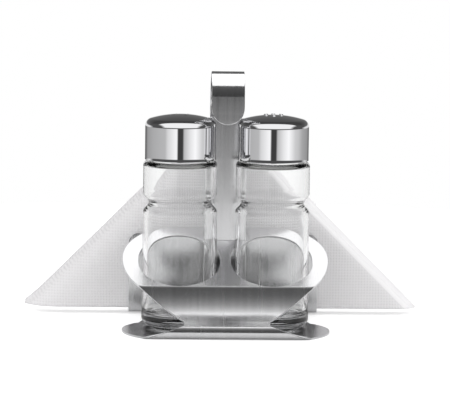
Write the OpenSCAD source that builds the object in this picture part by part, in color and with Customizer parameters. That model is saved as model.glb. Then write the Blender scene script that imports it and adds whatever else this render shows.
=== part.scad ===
// Table condiment set: a bent sheet stand with two shaker wells, a strip handle and a napkin channel.
// The origin lies on the table, midway between the two shakers. +Y points to the back, +Z up.

/* [Shakers] */
// Distance between the two shaker axes
shaker_pitch = 53; // [50:0.5:60]
// Outer diameter of the jar wall
jar_d = 42.4; // [38:0.2:44]
// Outer diameter of the jar just above its foot
jar_foot_d = 43.4; // [39:0.2:45]
// Wall thickness of the jar
jar_wall = 2.4; // [1.5:0.1:3.5]
// Thickness of the jar's base
jar_base_t = 6; // [3:0.5:12]
// Height from the jar's foot to the edge below the groove
jar_belly_h = 65.2; // [50:0.2:80]
// Height of the groove round the jar
jar_groove_h = 10.6; // [6:0.2:16]
// Depth of the groove
jar_groove_depth = 3.2; // [1:0.1:5]
// Height from the groove to the jar's shoulder
jar_collar_h = 18.6; // [12:0.2:28]
// Rounding of the foot and of the inner floor
jar_foot_r = 4; // [2:0.5:7]
// Rounding of the shoulder
jar_shoulder_r = 2.4; // [1:0.1:4]
// Outer diameter of the neck
neck_d = 35.4; // [30:0.2:36]
// Height of the neck above the shoulder
neck_h = 15.6; // [10:0.2:15.8]

/* [Caps] */
// Outer diameter of the cap
cap_d = 40.7; // [38.5:0.1:42]
// Thickness of the cap's steel
cap_t = 0.7; // [0.4:0.1:1.2]
// Height of the cap's straight side
cap_side_h = 19.4; // [14:0.1:24]
// Rise of the dome above the side
cap_dome_h = 6.6; // [5:0.1:14]
// Rounding between the cap's side and its crown
cap_corner_r = 4.3; // [2:0.1:6]
// Gap between the cap's rim and the jar's shoulder
cap_rim_gap = 0.8; // [0.4:0.1:2]
// Diameter of a pouring hole
pour_hole_d = 1.6; // [1.2:0.1:2.4]
// Diameter of the ring of pouring holes
pour_ring_d = 10; // [8:0.5:16]
// Turn of the ring of pouring holes about the cap's axis
pour_ring_turn = 30; // [0:5:60]
// Number of holes in the ring of the salt cap
salt_ring_holes = 4; // [3:1:6]
// Number of holes in the ring of the pepper cap
pepper_ring_holes = 6; // [4:1:8]
// Height of the raised rims round the pepper holes
pour_rim_h = 0.6; // [0.3:0.1:1]
// Width of the raised rims round the pepper holes
pour_rim_w = 0.5; // [0.3:0.1:0.8]

/* [Sheet] */
// Thickness of the stand's sheet
sheet_t = 1.2; // [0.8:0.1:1.6]
// Slope of the tray
tray_tilt = 26.3; // [20:0.1:30]
// Distance from the shaker axes forward to the toe bend
toe_reach = 42.5; // [40:0.5:50]
// Outer radius of the toe bend
toe_r = 4; // [3:0.5:6]
// Radius of the hollow front panel
cove_r = 30; // [26:0.5:36]
// Angle below level where the front panel starts at its top
cove_top_angle = 22; // [16:1:28]
// Angle below level where the front panel runs into the toe
cove_low_angle = 75; // [70:1:80]
// Outer radius of the crest bend
crest_r = 3; // [2.5:0.1:5]

/* [Outline] */
// Half width of the tray at its widest
tray_half_w = 59.2; // [54:0.2:66]
// Radius of the tray's rear corners
tray_rear_r = 31.5; // [26:0.5:36]
// Radius of the tray's long side curves
tray_side_r = 46; // [42:0.5:60]
// Distance of the widest line behind the shaker axes
tray_back = 2.6; // [0:0.2:6]
// Half width of the waist of the front panel
waist_half_w = 24; // [18:0.5:32]
// Height of the waist's lower corner
waist_low_h = 8; // [6:0.5:9]
// Height of the waist's upper corner
waist_top_h = 9.6; // [9:0.1:12]
// Radius of the front corners of the base
base_front_r = 31.5; // [28:0.5:36]
// Radius of the rear corners of the base
base_rear_r = 26; // [22:0.5:32]
// Distance of the base's widest line in front of the shaker axes
base_fwd = 18; // [14:0.5:22]
// Rim of the base round the jar's foot
base_rim = 1.3; // [0.5:0.1:3]
// Radial clearance of the well round the jar's foot
well_clear = 1.7; // [1:0.1:3]
// Clearance of the well in front of the jar
well_front_clear = 0.4; // [0.3:0.1:1]

/* [Handle] */
// Width of the handle strip
strip_w = 18.6; // [14:0.2:22]
// Thickness of the handle strip
strip_t = 1.5; // [1:0.1:2]
// Distance from the shaker axes back to the strip
strip_back = 19; // [17:0.5:22]
// Overall height of the handle
handle_h = 147; // [135:1:170]
// Clearance between the hanging tab and a shaker that is lifted past it
tab_clear = 0.5; // [0.4:0.1:2]
// Outer radius of the front half of the curl
curl_front_r = 13.5; // [10:0.5:16]
// Height of the tip of the curl above the table
curl_tip_h = 117.6; // [110:0.1:122]
// Outer radius of the bend at the handle's foot
foot_bend_r = 3; // [2.5:0.5:5]
// Clearance of the slot round the strip
slot_clear = 0.15; // [0.1:0.05:0.5]

/* [Napkin channel] */
// Width of the channel
channel_w = 111.6; // [90:0.2:130]
// Distance from the shaker axes back to the channel's front
channel_back = 36; // [34:0.5:44]
// Inner depth of the channel
channel_gap = 20; // [16:0.5:30]
// Height of the channel's walls above its floor
channel_h = 46; // [30:1:60]
// Outer radius of the channel's bends
channel_bend_r = 2.5; // [2:0.1:4]
// Radius of the walls' upper corners
channel_corner_r = 6; // [3:0.5:15]
// Width of the tongue of the base that carries the channel
tongue_w = 50; // [40:1:70]

/* [Napkins] */
// Long edge of a folded napkin
napkin_w = 232; // [200:1:240]
// Height of a folded napkin
napkin_h = 112; // [90:1:120]
// Thickness of a folded napkin
napkin_t = 2.2; // [1.6:0.1:2.6]
// Gap between folded napkins
napkin_gap = 0.4; // [0.3:0.1:0.6]
// Sideways offset of the napkins
napkin_shift = -1.7; // [-4:0.1:4]
// Rounding of the napkins' corners
napkin_corner_r = 2.4; // [1:0.1:4]

/* [Hidden] */
$fn = 96;
// Overrun of cutting solids
cut = 5;
// Overlap of outlines that run into each other
overlap = sheet_t / 2;
// Angle between the points of a drawn arc
arc_step = 6;
// Most of the dome's rise that its rounded corner may take
corner_share = 0.8;
// Number of straight runs in a drawn edge
edge_steps = 10;
// Clearance between neighbouring pieces of different bodies
seat_gap = 0.3;

shaker_x = shaker_pitch / 2;
steel_colour = [0.72, 0.73, 0.75];
polished_colour = [0.82, 0.83, 0.85];
glass_colour = [0.85, 0.9, 0.92, 0.4];
seal_colour = [0.93, 0.93, 0.9];
napkin_colour = [0.96, 0.96, 0.96];

// Jar levels, measured from the table
jar_z = sheet_t;
groove_low_z = jar_z + jar_belly_h;
groove_top_z = groove_low_z + jar_groove_h;
shoulder_z = groove_top_z + jar_collar_h;
neck_top_z = shoulder_z + neck_h;
jar_r = jar_d / 2;
jar_low_r = jar_foot_d / 2;
neck_r = neck_d / 2;
neck_bore_r = neck_r - jar_wall;

// Cap levels and the liner and seal inside it
cap_r = cap_d / 2;
cap_z = shoulder_z + cap_rim_gap;
cap_side_z = cap_z + cap_side_h;
cap_apex_z = cap_side_z + cap_dome_h;
corner_r = min(cap_corner_r, corner_share * cap_dome_h);
corner_c = [cap_r - corner_r, cap_side_z];
crown_r = (pow(corner_c[0], 2) + pow(cap_dome_h, 2) - pow(corner_r, 2)) / (2 * (cap_dome_h - corner_r));
crown_c = [0, cap_apex_z - crown_r];
crown_angle = atan2(corner_c[1] - crown_c[1], corner_c[0]);
seal_t = 0.8;
liner_t = 1;
liner_fit = 0.05;
seal_r = neck_r;
liner_r = cap_r - cap_t - liner_fit;
liner_bore_r = neck_r + seat_gap;
liner_z = neck_top_z + seal_t;

// Points of an arc, and the point at an angle on a circle
function polar(radius, angle) = [radius * cos(angle), radius * sin(angle)];
function arc_points(centre, radius, from_angle, to_angle) =
    let (steps = ceil(abs(to_angle - from_angle) / arc_step))
    [for (i = [0:steps]) centre + polar(radius, from_angle + (to_angle - from_angle) * i / steps)];
function after_first(points) = [for (i = [1:len(points) - 1]) points[i]];

// Profile of the bent sheet in the side view, as points (y, z)
toe_c = [-toe_reach, toe_r];
cove_c = toe_c + polar(toe_r + cove_r, 180 - cove_low_angle);
crest_c = cove_c + polar(cove_r + crest_r, -cove_top_angle);
tray_start = crest_c + polar(crest_r, 90 + tray_tilt);
// Height at which the tray's upper face crosses the shaker axes
tray_z = tray_start[1] - tray_start[0] * tan(tray_tilt);
// Distance along the tray from the shaker axes forward to the crest bend
tray_fwd = -tray_start[0] / cos(tray_tilt);

// Wells in the tray
well_r = jar_low_r + well_clear;
well_half_l = (jar_low_r + well_front_clear + sheet_t * sin(tray_tilt)) / cos(tray_tilt);
well_stretch = max(0, well_half_l - well_r);

// Outline of the tray and the front panel
side_c_x = tray_half_w - tray_side_r;
rear_c_x = tray_half_w - tray_rear_r;
crest_arc = crest_r * (90 - tray_tilt - cove_top_angle) * PI / 180;
function tray_edge_x(s) = side_c_x + sqrt(pow(tray_side_r, 2) - pow(s + tray_back, 2));
crest_start_x = tray_edge_x(tray_fwd);
crest_end_x = tray_edge_x(tray_fwd + crest_arc);
waist_angle = asin((cove_c[1] - waist_top_h) / cove_r);
base_front_x = tray_half_w - base_front_r;
base_rear_x = tray_half_w - base_rear_r;
toe_half_w = base_front_x + sqrt(pow(base_front_r, 2) - pow(toe_reach - base_fwd, 2)) - overlap;
toe_slope = (toe_half_w - waist_half_w) / waist_low_h;

// Curl of the handle, wide enough for a lifted shaker to pass beside its tab
tab_side = shaker_x - strip_w / 2;
tab_fwd = sqrt(max(0, pow(max(jar_r, cap_r) + tab_clear, 2) - pow(tab_side, 2)));
tab_y = -tab_fwd - strip_t;
curl_rear_r = strip_back + strip_t - tab_y - curl_front_r;
curl_top_y = tab_y + curl_front_r;
curl_front_c = [curl_top_y, handle_h - curl_front_r];
curl_rear_c = [curl_top_y, handle_h - curl_rear_r];
tip_r = strip_w / 2;

// Channel behind the handle
channel_z = sheet_t;
channel_rear = channel_back + channel_gap + 2 * sheet_t;
napkin_z = channel_z + sheet_t + seat_gap;
napkin_y = channel_back + sheet_t + 2 * napkin_gap;
napkin_count = 5;

// Lays a drawing of (y, z) on edge and makes it as wide as asked, centred on x
module across(width) {
    rotate([90, 0, 90]) linear_extrude(height = width, center = true) children();
}

// Lays a drawing of (x, z) upright and runs it from one y to another
module along(from_y, to_y) {
    translate([0, to_y, 0]) rotate([90, 0, 0]) linear_extrude(height = to_y - from_y) children();
}

// Puts a drawing of (x, distance up the slope) on the tray and cuts or builds downwards
module on_tray(above, below) {
    translate([0, 0, tray_z]) rotate([tray_tilt, 0, 0])
        translate([0, 0, -below]) linear_extrude(height = above + below) children();
}

// Two round lobes and the space between them
module lobes(x, y, radius) {
    for (side = [-1, 1]) translate([side * x, y]) circle(r = radius);
    translate([-x, y - radius]) square([2 * x, 2 * radius]);
}

// Keeps what is drawn between two levels of y
module between(from_y, to_y) {
    intersection() {
        children();
        translate([-tray_half_w - cut, from_y]) square([2 * (tray_half_w + cut), to_y - from_y]);
    }
}

// Flat outline of the tray, up the slope from just inside the crest bend
module tray_outline() {
    between(tray_back - overlap, tray_back + tray_rear_r + cut) lobes(rear_c_x, tray_back, tray_rear_r);
    between(-tray_fwd - overlap, tray_back)
        for (side = [-1, 1]) translate([side * side_c_x, tray_back]) circle(r = tray_side_r);
}

// Front view of the folded front, narrow at its waist
module front_outline() {
    upper = [for (i = [0:edge_steps])
        let (angle = cove_top_angle + (waist_angle - cove_top_angle) * i / edge_steps)
        [crest_end_x + (waist_half_w - crest_end_x) * i / edge_steps, cove_c[1] - cove_r * sin(angle)]];
    right = concat(
        [[crest_start_x, tray_start[1] + 2 * sheet_t], [crest_start_x, tray_start[1]]],
        upper, [[waist_half_w, waist_low_h], [toe_half_w + sheet_t * toe_slope, -sheet_t]]);
    left = [for (i = [len(right) - 1:-1:0]) [-right[i][0], right[i][1]]];
    polygon(concat(right, left));
}

// Side view of the whole bent sheet as one closed outline
module sheet_profile() {
    tray_end = tray_back + tray_rear_r + cut;
    tray_dir = polar(tray_end, tray_tilt);
    under = polar(sheet_t, tray_tilt - 90);
    outer = concat(
        [[0, tray_z] + tray_dir],
        arc_points(crest_c, crest_r, 90 + tray_tilt, 180 - cove_top_angle),
        arc_points(cove_c, cove_r, -cove_top_angle, -cove_low_angle),
        arc_points(toe_c, toe_r, 180 - cove_low_angle, 270),
        [[channel_rear + cut, 0]]);
    inner = concat(
        [[channel_rear + cut, sheet_t]],
        arc_points(toe_c, toe_r - sheet_t, 270, 180 - cove_low_angle),
        arc_points(cove_c, cove_r + sheet_t, -cove_low_angle, -cove_top_angle),
        arc_points(crest_c, crest_r - sheet_t, 180 - cove_top_angle, 90 + tray_tilt),
        [[0, tray_z] + tray_dir + under]);
    polygon(concat(outer, inner));
}

// Plan of the base: wide at the front, a rim round each foot, and the tongue behind
module base_outline() {
    between(-toe_reach - overlap, -base_fwd) lobes(base_front_x, -base_fwd, base_front_r);
    between(-base_fwd - overlap, -base_fwd + base_rear_r + cut) lobes(base_rear_x, -base_fwd, base_rear_r);
    lobes(shaker_x, 0, jar_low_r + base_rim);
    translate([-tongue_w / 2, 0]) square([tongue_w, channel_rear]);
}

module stand() {
    color(steel_colour) difference() {
        intersection() {
            across(2 * (tray_half_w + cut)) sheet_profile();
            union() {
                on_tray(sheet_t, 2 * sheet_t) tray_outline();
                along(-toe_reach - toe_r - cut, crest_c[0]) front_outline();
                translate([0, 0, -sheet_t]) linear_extrude(height = 3 * sheet_t) base_outline();
            }
        }
        for (side = [-1, 1]) on_tray(cut, cut) well(side * shaker_x);
        translate([-strip_w / 2 - slot_clear, strip_back - slot_clear, jar_z + cut])
            cube([strip_w + 2 * slot_clear, strip_t + 2 * slot_clear, handle_h]);
    }
}

// A well: two circles a little apart along the slope, and the strip between them
module well(x) {
    translate([x, -well_stretch]) circle(r = well_r);
    translate([x, well_stretch]) circle(r = well_r);
    translate([x - well_r, -well_stretch]) square([2 * well_r, 2 * well_stretch]);
}

// Side view of the handle: foot, upright, curl and hanging tip
module handle_profile() {
    bend_c = [strip_back + foot_bend_r, jar_z + foot_bend_r];
    polygon(concat(
        [[channel_back, jar_z]],
        arc_points(bend_c, foot_bend_r, 270, 180),
        arc_points(curl_rear_c, curl_rear_r - strip_t, 0, 90),
        after_first(arc_points(curl_front_c, curl_front_r - strip_t, 90, 180)),
        [[tab_y + strip_t, curl_tip_h], [tab_y, curl_tip_h]],
        arc_points(curl_front_c, curl_front_r, 180, 90),
        after_first(arc_points(curl_rear_c, curl_rear_r, 90, 0)),
        arc_points(bend_c, foot_bend_r - strip_t, 180, 270),
        [[channel_back, jar_z + strip_t]]));
}

module handle() {
    color(steel_colour) intersection() {
        across(strip_w) handle_profile();
        union() {
            // Everything behind the tab
            translate([-strip_w, tab_y + strip_t, -cut])
                cube([2 * strip_w, channel_rear, handle_h + 2 * cut]);
            // The tab's round end and what is above it
            translate([0, strip_back, curl_tip_h + tip_r]) rotate([90, 0, 0])
                cylinder(r = tip_r, h = strip_back - tab_y + cut);
            translate([-strip_w, tab_y - cut, curl_tip_h + tip_r])
                cube([2 * strip_w, strip_back - tab_y + cut, handle_h]);
        }
    }
}

// Side view of the channel: two walls and a floor
module channel_profile() {
    inner_r = channel_bend_r - sheet_t;
    front_c = [channel_back + channel_bend_r, channel_z + channel_bend_r];
    rear_c = [channel_rear - channel_bend_r, channel_z + channel_bend_r];
    top_z = channel_z + sheet_t + channel_h;
    polygon(concat(
        [[channel_back, top_z]],
        arc_points(front_c, channel_bend_r, 180, 270),
        arc_points(rear_c, channel_bend_r, 270, 360),
        [[channel_rear, top_z], [channel_rear - sheet_t, top_z]],
        arc_points(rear_c, inner_r, 360, 270),
        arc_points(front_c, inner_r, 270, 180),
        [[channel_back + sheet_t, top_z]]));
}

// Front view of the channel with round upper corners
module channel_outline() {
    corner_x = channel_w / 2 - channel_corner_r;
    top_z = channel_z + sheet_t + channel_h;
    translate([-channel_w / 2, 0]) square([channel_w, top_z - channel_corner_r]);
    translate([-corner_x, 0]) square([2 * corner_x, top_z]);
    for (side = [-1, 1]) translate([side * corner_x, top_z - channel_corner_r]) circle(r = channel_corner_r);
}

module napkin_holder() {
    color(steel_colour) intersection() {
        across(channel_w) channel_profile();
        along(channel_back - cut, channel_rear + cut) channel_outline();
    }
}

// Radius of the jar's wall through the groove, as a smooth dip
groove_steps = 16;
function groove_points(radius, low_z, top_z) = [for (i = [0:groove_steps])
    let (share = i / groove_steps)
    [radius - jar_groove_depth * (1 - cos(360 * share)) / 2, low_z + (top_z - low_z) * share]];

module jar_section() {
    inner_r = jar_r - jar_wall;
    floor_z = jar_z + jar_base_t;
    outer = concat(
        [[0, jar_z], [jar_low_r - jar_foot_r, jar_z]],
        arc_points([jar_low_r - jar_foot_r, jar_z + jar_foot_r], jar_foot_r, -90, 0),
        groove_points(jar_r, groove_low_z, groove_top_z),
        arc_points([jar_r - jar_shoulder_r, shoulder_z - jar_shoulder_r], jar_shoulder_r, 0, 90),
        [[neck_r, shoulder_z], [neck_r, neck_top_z]]);
    bore = concat(
        [[neck_bore_r, neck_top_z], [neck_bore_r, shoulder_z]],
        [[inner_r, groove_top_z + jar_collar_h - 2 * jar_shoulder_r]],
        [for (i = [groove_steps:-1:0]) groove_points(inner_r, groove_low_z, groove_top_z)[i]],
        arc_points([inner_r - jar_foot_r, floor_z + jar_foot_r], jar_foot_r, 0, -90),
        [[0, floor_z]]);
    polygon(concat(outer, bore));
}

module jar(x) {
    color(glass_colour) translate([x, 0, 0]) rotate_extrude() jar_section();
}

module seal(x) {
    color(seal_colour) translate([x, 0, neck_top_z]) difference() {
        cylinder(r = seal_r, h = seal_t);
        translate([0, 0, -cut]) cylinder(r = neck_bore_r, h = seal_t + 2 * cut);
    }
}

// Threaded insert inside the cap, with a ring that presses on the seal
module cap_liner(x) {
    color(seal_colour) translate([x, 0, cap_z]) difference() {
        cylinder(r = liner_r, h = liner_z + liner_t - cap_z);
        translate([0, 0, -cut]) cylinder(r = liner_bore_r, h = liner_z - cap_z + cut);
        cylinder(r = neck_bore_r, h = cap_side_h);
    }
}

// Half section of the cap's outside with its rounded corner and low crown, drawn in by an inset
module cap_section(inset) {
    polygon(concat(
        [[0, cap_z], [cap_r - inset, cap_z]],
        arc_points(corner_c, corner_r - inset, 0, crown_angle),
        after_first(arc_points(crown_c, crown_r - inset, crown_angle, 90))
    ));
}

module pour_holes(count, radius) {
    cylinder(r = radius, h = cap_apex_z);
    for (i = [0:count - 1]) rotate([0, 0, pour_ring_turn + i * 360 / count])
        translate([pour_ring_d / 2, 0, 0]) cylinder(r = radius, h = cap_apex_z);
}

// Raised rims that follow the dome, a rim's height above it
module pour_rims(count) {
    intersection() {
        translate([0, 0, cap_side_z]) pour_holes(count, pour_hole_d / 2 + pour_rim_w);
        rotate_extrude() difference() {
            cap_section(-pour_rim_h);
            cap_section(cap_t / 2);
        }
    }
}

module cap(x, count, rims) {
    color(polished_colour) translate([x, 0, 0]) difference() {
        union() {
            rotate_extrude() difference() {
                cap_section(0);
                square([cap_r - cap_t, cap_side_z]);
                cap_section(cap_t);
            }
            if (rims) pour_rims(count);
        }
        translate([0, 0, cap_side_z]) pour_holes(count, pour_hole_d / 2);
    }
}

// One folded napkin: a flat triangle with its long edge down
module napkin(index) {
    y = napkin_y + (index - 1) * (napkin_t + napkin_gap);
    half = napkin_w / 2;
    tip_x = half - napkin_corner_r;
    top_z = napkin_z + napkin_h - napkin_corner_r;
    slope = atan((top_z - napkin_z - napkin_corner_r) / tip_x);
    round_c = [[-tip_x, napkin_z + napkin_corner_r], [tip_x, napkin_z + napkin_corner_r], [0, top_z]];
    color(napkin_colour) translate([napkin_shift, 0, 0]) along(y, y + napkin_t) {
        for (c = round_c) translate(c) circle(r = napkin_corner_r);
        polygon([
            [-tip_x, napkin_z], [tip_x, napkin_z],
            round_c[1] + polar(napkin_corner_r, 90 - slope), round_c[2] + polar(napkin_corner_r, 90 - slope),
            round_c[2] + polar(napkin_corner_r, 90 + slope), round_c[0] + polar(napkin_corner_r, 90 + slope)]);
    }
}

stand();
handle();
napkin_holder();
jar(-shaker_x);  // salt_glass
seal(-shaker_x);  // salt_seal
cap_liner(-shaker_x);  // salt_cap_liner
cap(-shaker_x, salt_ring_holes, false);  // salt_cap
jar(shaker_x);  // pepper_glass
seal(shaker_x);  // pepper_seal
cap_liner(shaker_x);  // pepper_cap_liner
cap(shaker_x, pepper_ring_holes, true);  // pepper_cap
for (i = [1:napkin_count])
    napkin(i);
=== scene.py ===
import random
from math import acos, asin, atan2, ceil, cos, pi, radians, sin, sqrt

import bmesh
import bpy
from bpy.props import FloatProperty, FloatVectorProperty, IntProperty, PointerProperty
from mathutils import Matrix, Vector, noise


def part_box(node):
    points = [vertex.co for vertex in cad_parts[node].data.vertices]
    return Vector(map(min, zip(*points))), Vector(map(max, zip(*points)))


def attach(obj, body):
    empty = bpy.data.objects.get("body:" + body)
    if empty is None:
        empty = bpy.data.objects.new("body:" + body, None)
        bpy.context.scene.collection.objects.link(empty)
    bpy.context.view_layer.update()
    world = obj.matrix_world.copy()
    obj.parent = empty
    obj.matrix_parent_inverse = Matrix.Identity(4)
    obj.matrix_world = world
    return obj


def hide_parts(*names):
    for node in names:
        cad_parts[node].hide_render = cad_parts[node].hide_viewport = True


bl_info = {
    "name": "Table Condiment Set",
    "version": (1, 0, 0),
    "blender": (4, 5, 0),
    "location": "View3D > Sidebar > Condiment Set",
    "description": "Models a bent-sheet stand with two glass shakers and folded napkins",
    "category": "Object",
}

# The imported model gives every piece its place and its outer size
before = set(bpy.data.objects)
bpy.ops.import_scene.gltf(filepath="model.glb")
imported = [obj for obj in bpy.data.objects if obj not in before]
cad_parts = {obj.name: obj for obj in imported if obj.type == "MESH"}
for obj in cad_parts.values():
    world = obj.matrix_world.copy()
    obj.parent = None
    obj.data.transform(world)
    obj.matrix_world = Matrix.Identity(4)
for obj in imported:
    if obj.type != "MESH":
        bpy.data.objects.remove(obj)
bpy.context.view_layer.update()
STAND_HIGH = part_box("stand")[1]
HANDLE_LOW, HANDLE_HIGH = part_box("handle")
CHANNEL_LOW, CHANNEL_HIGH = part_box("napkin_holder")

SHAKERS = ("salt", "pepper")
NAPKINS = [name for name in sorted(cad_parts) if name[:-1] == "napkin_"]
FULL_TURN = 2 * pi
QUARTER = pi / 2
ARC_STEP = radians(3)
SHARP = 40  # Faces that meet at more degrees than this show a sharp edge
CUT_EDGE = 50  # A sheet's edges are rounded from this many degrees on


# Properties that a user would change


def length(name, text, default):
    """A length property, stored in metres."""
    return FloatProperty(
        name=name, description=text, default=default, min=0, precision=5, unit="LENGTH"
    )


def angle(name, text, default):
    """An angle property, given in degrees and stored in radians."""
    return FloatProperty(name=name, description=text, default=radians(default), unit="ROTATION")


def share(name, text, default):
    """A share from nought to one."""
    return FloatProperty(
        name=name, description=text, default=default, min=0, max=1, subtype="FACTOR"
    )


def tint(name, text, default):
    """A colour property."""
    return FloatVectorProperty(
        name=name, description=text, default=default, size=3, min=0, max=1, subtype="COLOR"
    )


def count(name, text, default):
    """A whole number."""
    return IntProperty(name=name, description=text, default=default, min=1)


class CondimentSheetSettings(bpy.types.PropertyGroup):
    """Sizes of the bent sheet stand, its handle and its napkin channel."""

    thickness: length("Sheet", "Thickness of the stand's sheet", 0.0012)
    tilt: angle("Tray slope", "Slope of the tray", 26.3)
    toe_reach: length("Toe reach", "Distance from the shaker axes forward to the toe bend", 0.0425)
    toe_radius: length("Toe bend", "Outer radius of the toe bend", 0.004)
    cove_radius: length("Cove", "Radius of the hollow front panel", 0.030)
    cove_top: angle("Cove top", "Angle below level where the front panel starts", 22)
    cove_low: angle("Cove end", "Angle below level where the front panel runs into the toe", 75)
    crest_radius: length("Crest bend", "Outer radius of the crest bend", 0.003)
    tray_rear_radius: length("Rear corner", "Radius of the tray's rear corners", 0.0315)
    tray_side_radius: length("Side curve", "Radius of the tray's long side curves", 0.046)
    tray_back: length("Widest line", "The tray's widest line, behind the shaker axes", 0.0026)
    waist_half: length("Waist", "Half width of the waist of the front panel", 0.024)
    waist_low: length("Waist low", "Height of the waist's lower corner", 0.008)
    waist_top: length("Waist top", "Height of the waist's upper corner", 0.0096)
    base_front_radius: length("Base front", "Radius of the front corners of the base", 0.0315)
    base_rear_radius: length("Base rear", "Radius of the rear corners of the base", 0.026)
    base_forward: length("Base line", "The base's widest line, in front of the shaker axes", 0.018)
    base_rim: length("Base rim", "Rim of the base round the jar's foot", 0.0013)
    tongue_width: length("Tongue", "Width of the tongue that carries the channel", 0.050)
    well_clearance: length("Well gap", "Radial clearance of the well round the jar's foot", 0.0017)
    well_front: length("Well front gap", "Clearance of the well in front of the jar", 0.0004)
    slot_clearance: length("Slot gap", "Clearance of the slot round the handle strip", 0.00015)
    strip_thickness: length("Strip", "Thickness of the handle strip", 0.0015)
    strip_back: length("Strip place", "Distance from the shaker axes back to the strip", 0.019)
    curl_front_radius: length("Curl front", "Outer radius of the front half of the curl", 0.0135)
    foot_bend: length("Foot bend", "Outer radius of the bend at the handle's foot", 0.003)
    channel_bend: length("Channel bend", "Outer radius of the channel's bends", 0.0025)
    channel_corner: length("Wall corner", "Radius of the channel walls' upper corners", 0.006)
    edge_break: length("Edge rounding", "Rounding of the sheet's cut edges", 0.0002)
    steel: tint("Steel", "Colour of the brushed steel", (0.74, 0.74, 0.75))
    roughness: share("Roughness", "Roughness of the brushed steel", 0.24)
    strip_roughness: share("Strip roughness", "Roughness of the handle strip", 0.16)


class CondimentShakerSettings(bpy.types.PropertyGroup):
    """Sizes and colours of the two shakers."""

    wall: length("Wall", "Thickness of the jar's wall", 0.0024)
    floor: length("Floor", "Thickness of the jar's base", 0.006)
    belly_height: length("Belly", "Height from the foot to the edge below the groove", 0.0652)
    groove_height: length("Groove height", "Height of the groove round the jar", 0.0106)
    groove_depth: length("Groove depth", "Depth of the groove", 0.0032)
    collar_height: length("Collar", "Height from the groove to the shoulder", 0.0186)
    body_diameter: length("Body", "Outer diameter of the jar's wall", 0.0424)
    neck_diameter: length("Neck", "Outer diameter of the neck", 0.0354)
    foot_rounding: length("Foot", "Rounding of the foot", 0.004)
    shoulder_rounding: length("Shoulder", "Rounding of the shoulder", 0.0024)
    punt: length("Punt", "Depth of the hollow under the base", 0.0012)
    cap_wall: length("Cap sheet", "Thickness of the cap's steel", 0.0003)
    cap_side: length("Cap side", "Height of the cap's straight side", 0.0194)
    dome_height: length("Dome", "Rise of the dome above the cap's side", 0.0066)
    corner_radius: length("Cap corner", "Rounding between the cap's side and its crown", 0.0043)
    flare_height: length("Flare height", "Height of the flare at the cap's lower edge", 0.0025)
    flare_width: length("Flare width", "Spread of the flare at the cap's lower edge", 0.00005)
    hole_diameter: length("Hole", "Diameter of a pouring hole", 0.0016)
    ring_diameter: length("Ring", "Diameter of the ring of pouring holes", 0.010)
    ring_turn: angle("Ring turn", "Turn of the ring of pouring holes about the cap's axis", 30)
    salt_holes: count("Salt holes", "Holes in the ring of the salt cap", 4)
    pepper_holes: count("Pepper holes", "Holes in the ring of the pepper cap", 6)
    rim_width: length("Hole rim", "Width of the raised rims of the pepper holes", 0.0004)
    rim_height: length("Rim height", "Height of the raised rims of the pepper holes", 0.0004)
    segments: count("Segments", "Steps round a turned piece", 128)
    glass: tint("Glass", "Colour of the glass", (0.988, 0.99, 0.99))
    chrome: tint("Chrome", "Colour of the polished caps", (0.83, 0.83, 0.845))
    liner: tint("Liner", "Colour of the caps' liners", (0.82, 0.82, 0.80))
    seal: tint("Seal", "Colour of the seals", (0.86, 0.86, 0.83))


class CondimentNapkinSettings(bpy.types.PropertyGroup):
    """Sizes and colour of the folded napkins."""

    side: length("Napkin", "Side of the open napkin", 0.328)
    gauge: length("Tissue", "Thickness of one layer of tissue", 0.00012)
    slip: length("Slip", "Step between the layers' open edges", 0.0018)
    cell: length("Cell", "Size of the mesh's cells", 0.006)
    tip_lift: length("Tip lift", "Rise of the bulky closed corner", 0.0013)
    tip_reach: length("Tip reach", "Length over which the closed corner rises", 0.013)
    wing_lift: length("Wing lift", "Rise of the wings beside the channel", 0.0008)
    pressed: share("Pressed edge", "Share of the thickness left along the closed edge", 0.35)
    soft_reach: length("Soft edge", "Width of the soft rounding along the closed edge", 0.016)
    fold_curl: length("Fold curl", "How far the closed slope leans back along its edge", 0.004)
    open_reach: length("Open reach", "Width of the leaning strip along the open edges", 0.0075)
    open_curl: length("Open curl", "How far the open edges lean back", 0.0035)
    # The border is also painted lighter than the paper, as painted light
    border: length("Border", "Width of the plain border without pressed dots", 0.003)
    ripple: length("Ripple", "Depth of the slow ripples in the paper", 0.0005)
    seed: count("Seed", "Seed of the small differences between the napkins", 4)
    colour: tint("Paper", "Colour of the napkins", (0.876, 0.864, 0.876))


SETTINGS = {
    "condiment_sheet": CondimentSheetSettings,
    "condiment_shaker": CondimentShakerSettings,
    "condiment_napkin": CondimentNapkinSettings,
}


# Materials

# How fine each pattern is along its three axes, in waves a metre
BRUSH_LINES, BRUSH_BANDS = (5200, 26, 26), (420, 5, 5)
FINE_GRAIN, HAND_MARKS, POLISH_WAVES = (900,) * 3, (60,) * 3, (90,) * 3
PAPER_FIBRE, PAPER_CRUMPLE = (650,) * 3, (30,) * 3
MOULD_WAVES = (70, 70, 25)

NOISE_SPAN = (0.3, 0.7)  # Nearly all of the noise lies between these
DOT_PITCH = 0.0024
DOTS_END = 0.0003  # Width over which the dots run out at the border
GLASS_IOR = 1.5


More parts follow.
